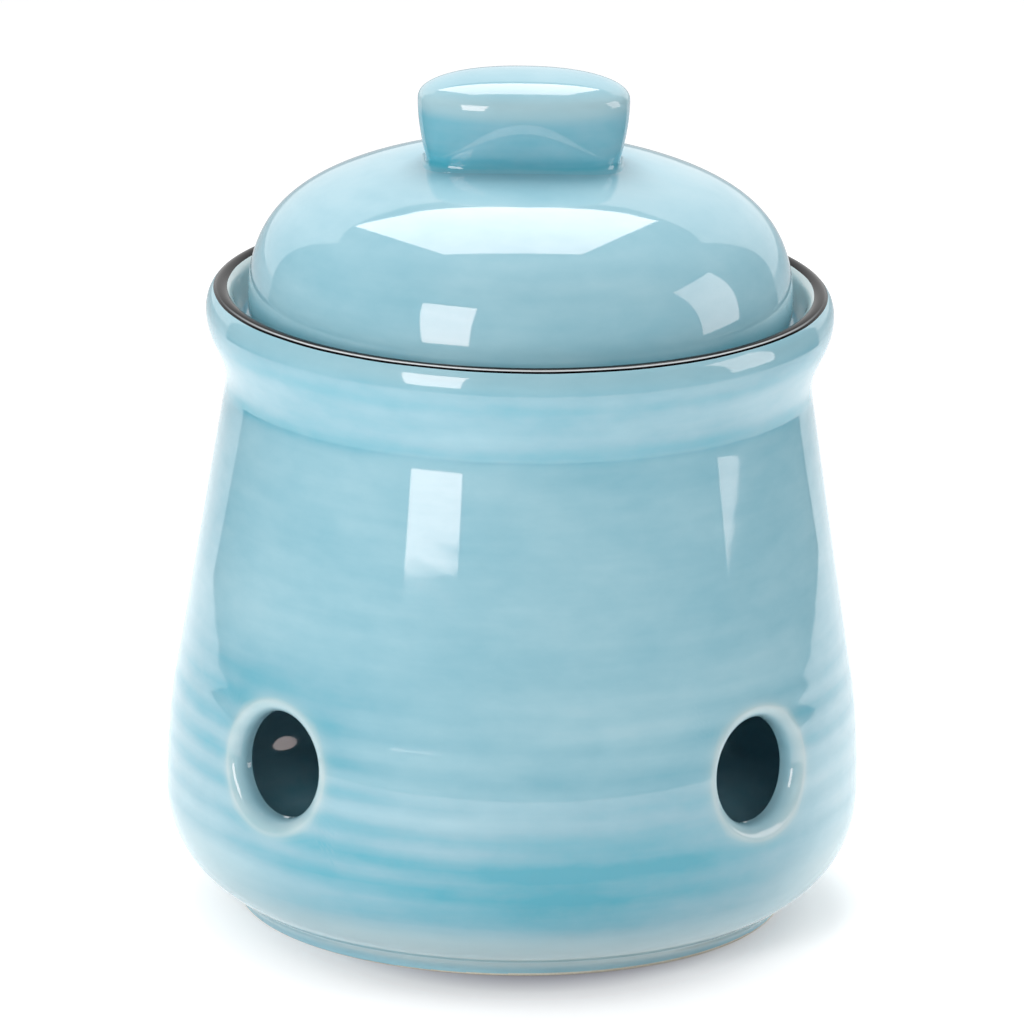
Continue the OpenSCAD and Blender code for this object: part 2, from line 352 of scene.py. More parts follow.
# Bare stoneware, turned on the wheel, wiped clean and fired: matt, cream and slightly gritty.
def bareClay(look):
    material = emptyMaterial("bare stoneware, turned and wiped")
    patches = addNoise(material, look["patches"], detail=4, roughness=0.6)
    grog = addNoise(material, look["grog"], detail=2, roughness=0.7)
    shade = addMath(material, "MULTIPLY", patches, look["patchShare"])
    shade = addMath(material, "MULTIPLY_ADD", grog, look["grogShare"], shade)
    addSurface(material, {"Base Color": addRamp(material, shade, look["stops"]),
                          "Roughness": look["roughness"], "IOR": look["ior"],
                          "Normal": addBump(material, grog, look["bump"], look["bumpDeep"])})
    return material


finishes = {
    "blue_glaze": blueGlaze(blueGlazeLook),
    "dark_glaze": darkGlaze(darkGlazeLook),
    "bare_clay": bareClay(clayLook),
}
print("materials made")


jarHigh, bandHigh, footHigh = (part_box(node)[1] for node in ("jar_body", "rim_band", "foot_ring"))
lidLow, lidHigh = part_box("lid_dome")
flangeLow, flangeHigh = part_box("lid_flange")
knobLow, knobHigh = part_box("lid_knob")
flangePlay = 0.8  # between the lid's flange and the throat, mm

jar = {
    "bellyR": jarHigh.x / mm, "height": bandHigh.z / mm, "footR": footHigh.x / mm,
    "footH": footHigh.z / mm, "ledgeZ": lidLow.z / mm,
    "bellyZ": 23.0, "shoulderZ": 48.0, "shoulderIn": 2.2, "wall": 4.6, "floorT": 5.0,
    "rootOut": 0.6, "footPull": (4.5, 2.8), "bellyPull": (13.8, 15.0), "taperPull": (2.5, 1.0),
    "throatR": flangeHigh.x / mm + flangePlay, "throatH": 6.0, "throatEdge": 0.8, "ledgeW": 4.9,
    "mouthFlare": 4.4, "lipRoll": 2.7, "lipDrop": 4.6, "mouthRound": (2.6, 3.4), "mouthTurn": -70,
    "neckIn": 3.7, "neckDrop": 18.2, "neckEase": 0.22, "neckBlend": 2.6, "neckPull": (1.0, 5.5),
    "lipPull": 5.0, "funnelPull": (0.5, 1.8), "funnelFootPull": (0.9, 1.6),
    "seatGap": 0.02,  # the ledge lies this much under the lid's seat
    "bandBed": 0.07, "bandBedAt": (2.25, 0.6),  # depth and place of the hollow that the band lies in
    "galleryDrop": 3.5, "cornerRise": 1.2, "cornerReach": 4.2, "cornerPull": (1.6, 0.9),
    "columns": 360, "step": 1.6, "insideStep": 2.4, "fineFrom": 97, "fineStep": 0.7,
}
vent = {
    "count": 4, "first": 45, "z": 38.0, "r": 9.9,
    "outRound": (2.6, 3.3),  # the mouth's round: outwards, and into the wall
    "inRound": (0.4, 0.4),  # the same at the inner face
    "halo": 0.60, "haloFade": 0.8,  # how milky the glaze is at the mouth's edge, where it ran thin
    "skinTurn": 1.2,  # the thrown unevenness fades over this turn of the round, radians
    "halfTurn": 14, "halfHeight": 16.0,  # the patch of wall that each vent's own mesh replaces
    "cells": 28, "patchRings": 6, "roundRings": 12, "boreRings": 3,
}
throwing = {
    "pitch": 5.6,  # height of one throwing ring, mm
    "deep": 0.025, "least": 0.06,  # deepest groove, and the share of it everywhere
    "swell": 0.03,  # slow unevenness of the whole wall
    "grooveIn": (14, 24), "grooveOut": (46, 62), "fadeIn": (5, 16), "fadeOut": (96, 106),
}
crest = np.array([jar["throatR"] + jar["ledgeW"] + jar["mouthFlare"], jar["height"]])


# The wall's outside as [radius, height], from the foot up to the lip's widest ring.
def jarOutside(s):
    lip = crest + [s["lipRoll"], -s["lipDrop"]]
    neck = np.array([lip[0] - s["neckIn"], s["height"] - s["neckDrop"]])
    foot = np.array([s["footR"] + s["rootOut"], s["footH"]])
    belly = np.array([s["bellyR"], s["bellyZ"]])
    low = np.array([s["bellyR"] - s["shoulderIn"], s["shoulderZ"]])
    high = neck + [s["neckEase"], -s["neckBlend"]]
    way = (high - low) / np.linalg.norm(high - low)
    return np.vstack([
        bezierCurve(foot, foot + s["footPull"], belly - [0, s["bellyPull"][0]], belly),
        bezierCurve(belly, belly + [0, s["bellyPull"][1]], low - s["taperPull"][0] * way, low),
        np.linspace(low, high, 40, endpoint=False),
        bezierCurve(high, high + s["taperPull"][1] * way, neck - [0, s["neckPull"][0]], neck, 16),
        bezierCurve(neck, neck + [0, s["neckPull"][1]], lip - [0, s["lipPull"]], lip),
        [lip],
    ])


outside = jarOutside(jar)


# The half width and half height of the crest's ellipse, which differ on either side of its top.
def crestSize(side):
    shapes = zip((jar["lipRoll"], jar["lipDrop"]), jar["mouthRound"])
    return [np.where(side > 0, outer, inner) for outer, inner in shapes]


# The crest's arc, by angle from its top, positive outwards.
def crestArc(start, end, steps):
    a = np.radians(np.linspace(start, end, steps))[:, None]
    width, height = crestSize(a)
    return crest - [0, 1] * height + np.hstack([width * np.sin(a), height * np.cos(a)])


# How far the thrown wall lies inside its true outline, in mm and never below 0: grooves that climb
# one pitch a turn, 0.5 - 0.5 cos(2 pi (z / pitch + phi / 2 pi)), with a slight waver and strongest low
# on the belly, and slow swells from sines of phi and z.
def thrownIn(phi, z):
    s = throwing
    turn = z / s["pitch"] + phi / (2 * math.pi)
    turn = turn + 0.10 * np.sin(2 * phi + 1.1) + 0.07 * np.sin(3 * phi + z / 15)
    groove = 0.5 - 0.5 * np.cos(2 * math.pi * turn)
    patchy = 0.65 + 0.35 * np.sin(2 * phi + z / 11 + 0.6)
    where = smoothStep(*s["grooveIn"], z) * (1 - smoothStep(*s["grooveOut"], z)) * patchy + s["least"]
    swell = 0.5 + 0.25 * np.sin(2 * phi + z / 19 + 0.4) + 0.25 * np.sin(3 * phi - z / 13 + 2.2)
    fade = smoothStep(*s["fadeIn"], z) * (1 - smoothStep(*s["fadeOut"], z))
    return (s["deep"] * where * groove + s["swell"] * swell) * fade


outsideNormal = -leftOf(outside)  # the outline climbs, so its right-hand side is outside


# The inside of the wall, from the floor up to the gallery under the ledge.
def jarInside(s):
    inner = outside + s["wall"] * leftOf(outside)
    floorZ = s["footH"] + s["floorT"]
    galleryZ = s["ledgeZ"] - s["throatH"] - s["galleryDrop"]
    inner = inner[(inner[:, 1] > floorZ + s["cornerRise"]) & (inner[:, 1] < galleryZ)]
    corner, (floorPull, wallPull) = inner[0], s["cornerPull"]
    return np.vstack([bezierCurve([corner[0] - s["cornerReach"], floorZ], [corner[0] - floorPull, floorZ],
                                  corner - [wallPull, wallPull], corner, 8), inner])


inside = jarInside(jar)


# The whole outline: underside, outside, lip, funnel, throat, inside, floor. The rows round the vents
# come as even heights, and the function also says which rows those are.
def jarOutline(s):
    low, high = vent["z"] - vent["halfHeight"], vent["z"] + vent["halfHeight"]
    heights = np.linspace(low, high, vent["cells"] + 1)
    outerBlock, innerBlock = (np.stack([np.interp(heights, wall[:, 1], wall[:, 0]), heights], 1)
                              for wall in (outside, inside))
    footR, footH = outside[0]
    lip = np.vstack([crestArc(90, 0, 30)[1:], crestArc(0, s["mouthTurn"], 24)[1:]])
    lip = lip + s["bandBed"] * leftOf(lip) * smoothStep(*s["bandBedAt"], np.abs(lip[:, :1] - crest[0]))
    ledgeR, ledgeZ, throatR, edge = s["throatR"] + s["ledgeW"], s["ledgeZ"], s["throatR"], s["throatEdge"]
    funnel = bezierCurve(lip[-1], lip[-1] - s["funnelPull"],
                         np.add([ledgeR, ledgeZ], s["funnelFootPull"]), [ledgeR, ledgeZ], 8)
    throatFoot = ledgeZ - s["throatH"]
    throat = np.vstack([
        level(ledgeZ - s["seatGap"], ledgeR - 0.5, throatR + 2.4, throatR + edge),
        [[throatR + 0.25, ledgeZ - 0.25], [throatR, ledgeZ - edge]],
        [[throatR, throatFoot + 3], [throatR, throatFoot + 0.6], [throatR + 0.2, throatFoot]],
    ])
    upper = evenly(between(inside, high, inside[-1, 1]), s["insideStep"])[::-1]
    gallery = bezierCurve(throat[-1], throat[-1] + [0.9, -1.2], upper[0] + [0.3, 1.6], upper[0], 6)[1:]
    floor = evenly(between(inside, inside[0, 1], low), s["insideStep"])[::-1]
    parts = [
        level(footH, 0, 12, 24, 36, 45, footR - 1.2),
        evenly(between(outside, footH, low), s["step"])[:-1],
        outerBlock,
        evenly(between(outside, high, s["fineFrom"]), s["step"])[1:],
        evenly(between(outside, s["fineFrom"], outside[-1, 1]), s["fineStep"])[1:],
        lip, funnel[1:], throat, gallery, upper[:-1],
        innerBlock[::-1], floor[1:], level(floor[-1, 1], 40, 28, 14, 0),
    ]
    counts = np.cumsum([len(part) for part in parts])
    return np.vstack(parts), counts[1], counts[9]


# One vent's own mesh joins the removed patch's edge outside to the one inside. A ring of it has the
# radius rho about the vent's axis: rho falls from the patch's edge to the bore over the outer face,
# then the round follows rho = r + a (1 - sin t), depth = b (1 - cos t), and the inside mirrors that.
def ventRings(v, k, phiEdge, zEdge):
    middle = math.radians(v["first"] + 360 / v["count"] * k)
    way = np.array([math.sin(middle), -math.cos(middle), 0])
    side = np.array([math.cos(middle), math.sin(middle), 0])
    rise = zEdge - v["z"]
    rings, skin, thin = [], [], []

    def faceRings(profile, roundOut):
        across = np.interp(zEdge, profile[:, 1], profile[:, 0]) * np.sin(phiEdge - middle)
        angle, reach = np.arctan2(rise, across), np.hypot(rise, across)
        return angle, [reach + (v["r"] + roundOut - reach) * t
                       for t in np.linspace(0, 1, v["patchRings"] + 1)[1:]]

    def onFace(profile, rho, angle, depth):
        z, across = v["z"] + rho * np.sin(angle), rho * np.cos(angle)
        radius = np.interp(z, profile[:, 1], profile[:, 0])
        forward = np.sqrt(radius**2 - across**2) - depth
        return forward[:, None] * way + across[:, None] * side + z[:, None] * np.array([0, 0, 1])

    # The round of a mouth, turned by t from the face towards the bore.
    def onRound(profile, shape, angle, inwards, t):
        rho = np.full(len(rise), v["r"] + shape[0] * (1 - math.sin(t)))
        return onFace(profile, rho, angle, inwards * shape[1] * (1 - math.cos(t)))

    def add(ring, onSkin=0.0, milk=0.0):
        rings.append(ring)
        skin.append(onSkin)
        thin.append(np.full(len(rise), milk))

    outAngle, outReach = faceRings(outside, v["outRound"][0])
    inAngle, inReach = faceRings(inside, v["inRound"][0])
    turns = np.radians(np.linspace(0, 90, v["roundRings"] + 1)[1:])
    for rho in outReach:
        past = np.maximum(rho - v["r"] - v["outRound"][0], 0)
        add(onFace(outside, rho, outAngle, 0), 1.0, np.exp(-past / v["haloFade"]) * v["halo"])
    for t in turns:
        add(onRound(outside, v["outRound"], outAngle, 1, t),
            1 - smoothStep(0, v["skinTurn"], t), v["halo"] * math.cos(t) ** 2)
    first, last = rings[-1], onFace(inside, np.full(len(rise), v["r"]), inAngle, -v["inRound"][1])
    for t in np.linspace(0, 1, v["boreRings"] + 2)[1:]:
        add(first * (1 - t) + last * t)
    for t in turns[::-2][1:]:
        add(onRound(inside, v["inRound"], inAngle, -1, t))
    for rho in inReach[::-1]:
        add(onFace(inside, rho, inAngle, 0))
    return rings, skin, thin


# Where the glaze lies deeper (pool) or thinner (thin) on the jar, with painted shade and painted light in
# the same values: darker inside and at the front of the low wall, paler in the funnel and at the low sides.
# Heights and half widths are in mm.
jarPoolsAndPaintedLight = {
    "groove": 1.35, "grooveMean": 0.32, "groovesIn": (10, 20), "groovesOut": (50, 66),
    "root": 0.08, "rootAt": (5.5, 3.0), "neck": 0.22, "neckAt": (97, 102),
    "neckLine": 0.45, "neckLineZ": 100.2, "neckLineWaver": 0.5, "neckLineHalf": 1.5,
    "lipLine": 0.22, "lipLineZ": 110.3, "lipLineHalf": 1.2,
    # Painted shade: the ledge entry darkens every inside surface below the ledge, the vents' bores too.
    "ledge": 0.35, "ledgeAt": (111.9, 110.8), "funnel": 0.4, "funnelAt": (111.6, 112.4),
    # Painted shade: the low wall is darker at the front.
    "front": 0.50, "frontIn": (8, 14), "frontOut": (22, 36),
    "frontFacing": (0.35, 0.95),  # cosine of the angle from the front
    # Painted light: the funnel entries make the funnel paler and milky.
    "lipThin": 0.15, "lipThinAt": (112, 116.5), "funnelThin": 0.9, "funnelThinAt": (111.4, 112.4),
    # Painted light: the low entry makes the low wall paler and milkier at its sides.
    "low": 0.32, "lowZ": (24, 12), "milk": 0.26, "milkWaver": 0.12,
}


# How milky the glaze is low on the wall, where it ran down and thinned; at the jar's low sides this
# milkiness is painted light.
def milky(phi, z):
    return jarPoolsAndPaintedLight["milk"] + jarPoolsAndPaintedLight["milkWaver"] * np.sin(3 * phi + z / 4)


# The pool and thin values at (phi, z), painted shade and painted light included, with skin 1 outside and 0
# inside, and the vents' own thin.
def jarGlazeAndPaintedLight(phi, z, skin, thin):
    p = jarPoolsAndPaintedLight
    grooves = (thrownIn(phi, z) / (throwing["deep"] + throwing["swell"])) * skin
    pool = p["groove"] * (grooves - p["grooveMean"])
    pool = pool * smoothStep(*p["groovesIn"], z) * (1 - smoothStep(*p["groovesOut"], z))
    fromLine = z - p["neckLineZ"] - p["neckLineWaver"] * np.sin(2 * phi + 0.7)
    pool += eased(p, "root", z) * skin
    pool += p["neckLine"] * np.exp(-(fromLine / p["neckLineHalf"]) ** 2) * skin
    pool += p["lipLine"] * np.exp(-((z - p["lipLineZ"]) / p["lipLineHalf"]) ** 2) * skin
    # Painted shade darkens the inside below the ledge, and painted light pales the funnel.
    pool += (1 - skin) * (eased(p, "ledge", z) - eased(p, "funnel", z))
    # Painted shade at the front of the low wall, and painted light at its sides.
    front = smoothStep(*p["frontFacing"], np.cos(phi)) * smoothStep(*p["frontIn"], z) * skin
    low = (1 - front) * smoothStep(*p["lowZ"], z) * skin
    pool += p["front"] * front * (1 - smoothStep(*p["frontOut"], z)) + eased(p, "neck", z) * skin
    # lipThin is thin glaze over the lip; funnelThin is painted light in the funnel.
    thin = thin + (eased(p, "lipThin", z) * skin + eased(p, "funnelThin", z) * (1 - skin))
    return pool - p["low"] * low, thin + low * milky(phi, z)


def makeJar():
    outline, outerRow, innerRow = jarOutline(jar)
    columns, cells, half = jar["columns"], vent["cells"], vent["halfTurn"]
    points, quads, triangles = revolve(outline, columns)
    outerRow, innerRow = outerRow - 1, innerRow - 1  # the first row is a pole, and no ring
    lipRow = int(np.argmax(outline[:, 1])) - 1
    skin = np.where(np.arange(len(points)) // columns < lipRow, 1.0, 0.0)
    thin = np.zeros(len(points))
    quadRow, quadColumn = np.divmod(quads[:, 0], columns)
    keep = np.ones(len(quads), bool)
    extraQuads, extraPoints, extraSkin, extraThin = [], [], [], []
    count = len(points)
    for k in range(vent["count"]):
        middle = round((vent["first"] + 360 / vent["count"] * k) * columns / 360)
        start = middle - half * columns // 360
        across = (quadColumn - start) % columns < cells
        for row in (outerRow, innerRow):
            keep &= ~(across & (quadRow >= row) & (quadRow < row + cells))
        i = np.arange(cells)
        dr = np.concatenate([0 * i, i, 0 * i + cells, cells - i])
        dc = np.concatenate([i, 0 * i + cells, cells - i, 0 * i])
        column = (start + dc) % columns
        edgeOut = (outerRow + dr) * columns + column
        edgeIn = (innerRow + cells - dr) * columns + column
        phi = np.radians((start + dc) * 360 / columns)
        rings, ringSkin, ringThin = ventRings(vent, k, phi, outline[outerRow + 1 + dr, 1])
        size = len(phi)
        numbers = [edgeOut] + [count + n * size + np.arange(size) for n in range(len(rings))] + [edgeIn]
        for a, b in zip(numbers[:-1], numbers[1:]):
            extraQuads.append(np.stack([a, np.roll(a, -1), np.roll(b, -1), b], 1))
        extraPoints += rings
        extraSkin += [np.full(size, value) for value in ringSkin]
        extraThin += ringThin
        count += size * len(rings)
    points = np.vstack([points] + extraPoints)
    quads = np.vstack([quads[keep]] + extraQuads)
    skin, thin = np.concatenate([skin] + extraSkin), np.concatenate([thin] + extraThin)
    phi, radius, z = polar(points)
    out, up = (np.interp(z, outside[:, 1], outsideNormal[:, n]) for n in (0, 1))
    inwards = thrownIn(phi, z) * skin * (radius > jar["footR"])
    points = points - np.stack([np.sin(phi) * out, -np.cos(phi) * out, up], 1) * inwards[:, None]
    pool, thin = jarGlazeAndPaintedLight(phi, z, skin, thin)
    addPiece("jarBody", points, quads, triangles, "jar", "jar_body", ["blue_glaze"],
             {"pool": pool, "thin": thin})


makeJar()


band = {
    "outer": 36.5, "inner": -35.0,  # where it ends on the crest's arc, degrees from the top
    "waver": 2.2, "innerWaver": 1.4,  # how far its edges wander, degrees, and how much more the inner one
    "waves": ((0.5, 5, 0.3), (0.3, 11, 1.9), (0.2, 23, 0)),
    "thick": 0.45,  # how deep it sits in the glaze, mm
    "sink": 0.25, "sinkPower": 10,  # how its edges dip under the glaze
    "columns": 360, "rows": 33, "backRows": 5,
    "paintedHighlightAt": 18.5, "paintedHighlightHalf": 3.0,  # the painted highlight along it, degrees
    "paintedHighlightLeast": 0.05, "paintedHighlightFacing": (0.15, 0.8),  # it is strongest at the front
}


# A ring whose section is a lens: it follows the crest's arc and dips under the glaze at both edges,
# by sink |t|^sinkPower mm for t from -1 to 1 across it. Its edges wander by sines of phi.
def makeBand():
    phi = around(band["columns"])
    wander = band["waver"] * waves(phi, band["waves"])
    t = np.linspace(1, -1, band["rows"])[:, None]
    outer, inner = band["outer"] + wander, band["inner"] + band["innerWaver"] * wander
    angle = np.where(t > 0, t * outer, -t * inner)
    a = np.radians(angle)
    width, height = crestSize(t)
    sink = band["sink"] * np.abs(t) ** band["sinkPower"]
    length = np.hypot(height * np.sin(a), width * np.cos(a))
    radius = crest[0] + width * np.sin(a) - sink * height * np.sin(a) / length
    z = crest[1] - height + height * np.cos(a) - sink * width * np.cos(a) / length
    front = ringPoint(radius, phi, z)
    s = np.linspace(0, 1, band["backRows"] + 2)[1:-1, None, None]
    drop = np.array([0, 0, band["thick"]]) * 4 * s * (1 - s)
    back = front[-1] * (1 - s) + front[0] * s - drop
    points = np.concatenate([front, back]).reshape(-1, 3)
    quads = gridQuads(band["rows"] + band["backRows"], band["columns"], closeRows=True)
    # A painted highlight: a pale line along the band, strongest at the front.
    paintedHighlight = np.exp(-((angle - band["paintedHighlightAt"] - 0.5 * wander) / band["paintedHighlightHalf"]) ** 4)
    facing = smoothStep(*band["paintedHighlightFacing"], np.cos(phi))
    paintedHighlight = paintedHighlight * (band["paintedHighlightLeast"] + (1 - band["paintedHighlightLeast"]) * facing)
    paintedHighlight = np.concatenate([paintedHighlight, np.zeros(back.shape[:2])]).ravel()
    addPiece("rimBand", points, quads, [], "jar", "rim_band", ["dark_glaze"], {"paintedHighlight": paintedHighlight})


makeBand()


foot = {
    "width": 5.0, "round": 0.5, "columns": 288,
    "into": 0.12,  # how far its top lies inside the jar, mm
    "coveOut": 2.5, "coveUp": 3.6,  # where the cove ends on the jar's underside: out from it, and up
    "glazeEnd": 0.55, "glazeWaver": 0.45,  # height where the glaze was wiped off, and its waver, mm
    "waves": ((0.6, 1, -0.5), (0.4, 3, 0.9)),
    "pool": 0.25, "poolAt": (2.0, 0.6), "thinZ": (0.8, 3.0),
}


# A turned ring: its section is a closed outline with rounded lower edges. The glaze runs down over its
# outside in a soft cove, and its flat face and inner side are bare clay.
def makeFoot(s):
    r1, h = jar["footR"], jar["footH"] + s["into"]
    r0, reach, rise = r1 - s["width"], s["coveOut"], s["coveUp"]
    section = np.vstack([
        roundedBase(r0, r1, 0, s["round"]),
        bezierCurve([r1, 0.6], [r1, 1.8], [r1 + 0.58 * reach, rise - 1.0], [r1 + reach, rise], 14),
        [[r1 + reach, rise], [r1 + 0.6 * reach, rise + 0.3], [(r0 + r1) / 2, h]],
        [[r0 - 0.8, h], [r0 - 0.35, h - 0.5], [r0, h * 0.5]],
    ])
    points, quads, middles = sweep(section, s["columns"])
    turn, radius, height = polar(middles)
    edge = s["glazeEnd"] + s["glazeWaver"] * waves(turn, s["waves"])
    phi, _, z = polar(points)
    addPiece("footRing", points, quads, [], "jar", "foot_ring", ["bare_clay", "blue_glaze"],
             {"pool": eased(s, "pool", z) - s["pool"],
              "thin": smoothStep(*s["thinZ"], z) * milky(phi, z)},
             np.where((radius > r1 - s["round"]) & (height > edge), 1, 0))


makeFoot(foot)


lid = {
    "r": lidHigh.x / mm, "ledgeZ": lidLow.z / mm, "landZ": lidHigh.z / mm,
    "edgeH": 5.2, "turn": 2.4, "wall": 4.5, "sidePull": 13.2,
    "crownIn": 18.0, "crownDrop": 3.6, "crownOutPull": (11.2, -4.0), "crownInPull": (-7.5, 2.72),
    "landR": 11.0, "landPull": 7.5, "columns": 360, "step": 0.8, "insideStep": 1.6,
    "swell": 0.05, "swellZ": (3, 9), "swellR": (20, 26),  # unevenness, above the seat and off the crown
    "edgePool": 1.05, "edgePoolZ": (8.5, 1.5),  # deeper glaze low on its side, above the seat
    "crownPool": 0.28, "crownPoolAt": (26, 17), "topPool": -0.22, "topPoolAt": (126, 137),
}
flange = {
    "r": flangeHigh.x / mm, "t": 3.7, "lowZ": flangeLow.z / mm, "edge": 1.4, "columns": 288,
    "bareTo": 1.7, "bareWaver": 0.25,  # where the glaze was wiped off, above its foot
    "pool": 0.2, "thinZ": (107, 105),
}


def lidOutside(s):
    seat = np.array([s["r"] - s["turn"], s["ledgeZ"]])
    edge = np.array([s["r"], s["ledgeZ"] + s["edgeH"]])
    crown = np.array([s["r"] - s["crownIn"], s["landZ"] - s["crownDrop"]])
    land = np.array([s["landR"], s["landZ"]])
    return np.vstack([
        bezierCurve(seat, seat + [s["turn"] * 0.6, 0], [s["r"], s["ledgeZ"] + s["edgeH"] * 0.4], edge),
        bezierCurve(edge, edge + [0, s["sidePull"]], crown + s["crownOutPull"], crown),
        bezierCurve(crown, crown + s["crownInPull"], land + [s["landPull"], 0], land),
        [land],
    ])


domeOutside = lidOutside(lid)


def makeDome(s):
    inner = domeOutside + s["wall"] * leftOf(domeOutside)
    landR, seatZ, top = s["landR"], s["ledgeZ"], s["landZ"]
    inner = evenly(inner[(inner[:, 1] > seatZ + s["edgeH"]) & (inner[:, 0] > landR)], s["insideStep"])
    boreR = flange["r"] - flange["t"]
    ceiling = level(top - s["wall"], 0, 5, landR)
    seat = np.array([[boreR, seatZ + 2.4], [boreR, seatZ + 0.1], [boreR + 0.1, seatZ], [45.2, seatZ]])
    outline = np.vstack([ceiling, inner[::-1], seat, evenly(domeOutside, s["step"]), level(top, 7, 3.5, 0)])
    points, quads, triangles = revolve(outline, s["columns"])
    phi, radius, z = polar(points)
    row = np.arange(len(points)) // s["columns"]
    outer = np.where(row >= len(ceiling) + len(inner) + len(seat) - 2, 1.0, 0.0)  # from the seat on
    swell = s["swell"] * (1 + 0.6 * np.sin(2 * phi + radius / 9) + 0.4 * np.sin(3 * phi - radius / 7 + 1.3))
    swell *= outer * smoothStep(*np.add(seatZ, s["swellZ"]), z) * smoothStep(*s["swellR"], radius)
    points = points - swell[:, None] * np.stack([np.sin(phi), -np.cos(phi), 0.6 + 0 * phi], 1)
    pool = s["edgePool"] * smoothStep(*np.add(seatZ, s["edgePoolZ"]), z)
    pool += eased(s, "crownPool", radius) * outer + eased(s, "topPool", z) * outer
    addPiece("lidDome", points, quads, triangles, "lid", "lid_dome", ["blue_glaze"],
             {"pool": pool, "thin": np.zeros(len(points))})


# A ring with rounded lower edges and a small cove up to the lid's seat. Glaze was wiped off its foot,
# which the lid stood on in the kiln.
def makeFlange(s):
    r1, r0, seatZ = s["r"], s["r"] - s["t"], lid["ledgeZ"]
    section = np.vstack([
        roundedBase(r0, r1, s["lowZ"], s["edge"]),
        [[r1, seatZ - 2.5], [r1, seatZ - 0.6], [r1 + 0.12, seatZ - 0.2], [r1 + 0.45, seatZ + 0.02]],
        level(seatZ + 0.4, r1 - 0.4, r0 + 0.4),
        [[r0 - 0.02, seatZ + 0.1], [r0, seatZ - 0.6], [r0, seatZ - 2.5]],
    ])
    points, quads, middles = sweep(section, s["columns"])
    wander = s["bareWaver"] * np.sin(4 * np.arctan2(middles[:, 0], middles[:, 1]) + 0.8)
    addPiece("lidFlange", points, quads, [], "lid", "lid_flange", ["blue_glaze", "bare_clay"],
             {"pool": np.full(len(points), s["pool"]), "thin": smoothStep(*s["thinZ"], points[:, 2])},
             np.where(middles[:, 2] < s["lowZ"] + s["bareTo"] + wander, 1, 0))


makeDome(lid)
makeFlange(flange)


knob = {
    "halfL": knobHigh.x / mm, "halfW": knobHigh.y / mm, "h": (knobHigh.z - knobLow.z) / mm,
    "sideH": 11.6, "waist": 2.0, "hollow": 2.0,
    "rootSquare": 4.0, "topSquare": 2.2,  # exponent of the oval's outline, from squarish to round
    "coveOut": 1.5, "coveUp": 2.0,  # reach of the cove that joins it to the lid
    "sink": 0.015, "rootSink": 0.15,  # how far it sits in the dome, and its outermost ring besides
    "sides": 288, "coveRings": 10, "flankRings": 16, "capRings": 22,
    # The knob's lower flank is darker: painted shade.
    "paintedFootShade": 0.54, "paintedFootShadeAt": (14.5, 7.0), "capPool": 0.08, "capPoolAt": (11.0, 13.5),
    "rootPool": 0.34, "rootPoolAt": (0.1, 0.9), "rootPoolOut": (4.2, 2.0),
    "thin": 0.30, "thinAt": (9.0, 11.5), "thinOut": (15.5, 12.5),
}


# Rings on a superellipse, |x / a|^n + |y / b|^n = 1. The flank draws it in by waist (1 - t)^hollow with
# n falling from rootSquare to topSquare by (1 - t)^2, the cap shrinks it by cos(a)^(2/n) as it rises
# by sin(a)^(2/n), and a cove at the root runs out onto the dome.
def makeKnob(s):
    reach = s["coveUp"] / s["sideH"]
    coveTop = s["waist"] * (1 - reach) ** s["hollow"]
    cove = bezierCurve([s["waist"] - s["coveOut"], 0.0], [s["waist"] - 0.3 * s["coveOut"], 0.0],
                       [s["waist"] + 0.05, 0.3 * s["coveUp"]], [coveTop, s["coveUp"]], s["coveRings"])
    t = np.linspace(reach, 1, s["flankRings"], endpoint=False)
    a = np.radians(np.linspace(0, 90, s["capRings"], endpoint=False))
    power = 2 / s["topSquare"]
    inset = np.concatenate([cove[:, 0], s["waist"] * (1 - t) ** s["hollow"], 0 * a])[:, None]
    share = np.concatenate([np.ones(len(cove) + len(t)), np.cos(a) ** power])[:, None]
    capHeight = s["sideH"] + (s["h"] - s["sideH"]) * np.sin(a) ** power
    height = np.concatenate([cove[:, 1], s["sideH"] * t, capHeight])[:, None]
    flank = 1 - np.clip(height / s["sideH"], 0, 1)
    square = s["topSquare"] + (s["rootSquare"] - s["topSquare"]) * flank ** 2
    turn = around(s["sides"])
    x, y = ((half - inset) * share * np.sign(wave) * np.abs(wave) ** (2 / square)
            for half, wave in ((s["halfL"], np.cos(turn)), (s["halfW"], np.sin(turn))))
    domeZ = np.interp(np.hypot(x, y), domeOutside[::-1, 0], domeOutside[::-1, 1]) - lid["landZ"]
    onDome = np.clip(1 - height / s["coveUp"], 0, 1) ** 2
    outermost = np.clip(1 - height / s["rootSink"], 0, 1)
    z = lid["landZ"] + height + domeZ * onDome - s["sink"] - s["rootSink"] * outermost
    points = np.vstack([np.stack([x, y, z], -1).reshape(-1, 3),
                        [[0, 0, lid["landZ"] - 0.4], [0, 0, lid["landZ"] + s["h"] - s["sink"]]]])
    up = np.append(np.broadcast_to(height, x.shape).ravel(), [0, s["h"]])
    # The pool value holds painted shade low on the flank, glaze pooled in the cove, and a paler cap.
    pool = eased(s, "paintedFootShade", up) + eased(s, "rootPool", up) * smoothStep(*s["rootPoolOut"], up)
    pool -= eased(s, "capPool", up)
    thin = eased(s, "thin", up) * smoothStep(*s["thinOut"], up)
    quads, triangles = closedRows(len(height), s["sides"])
    addPiece("lidKnob", points, quads, triangles, "lid", "lid_knob", ["blue_glaze"],
             {"pool": pool, "thin": thin})


makeKnob(knob)


def darkMaterial(look):
    material = emptyMaterial("dark studio")
    light = addNode(material, "ShaderNodeEmission", inputs={"Color": linear(look["dark"]), "Strength": 1.0})
    addOutput(material, light.outputs["Emission"])
    return material
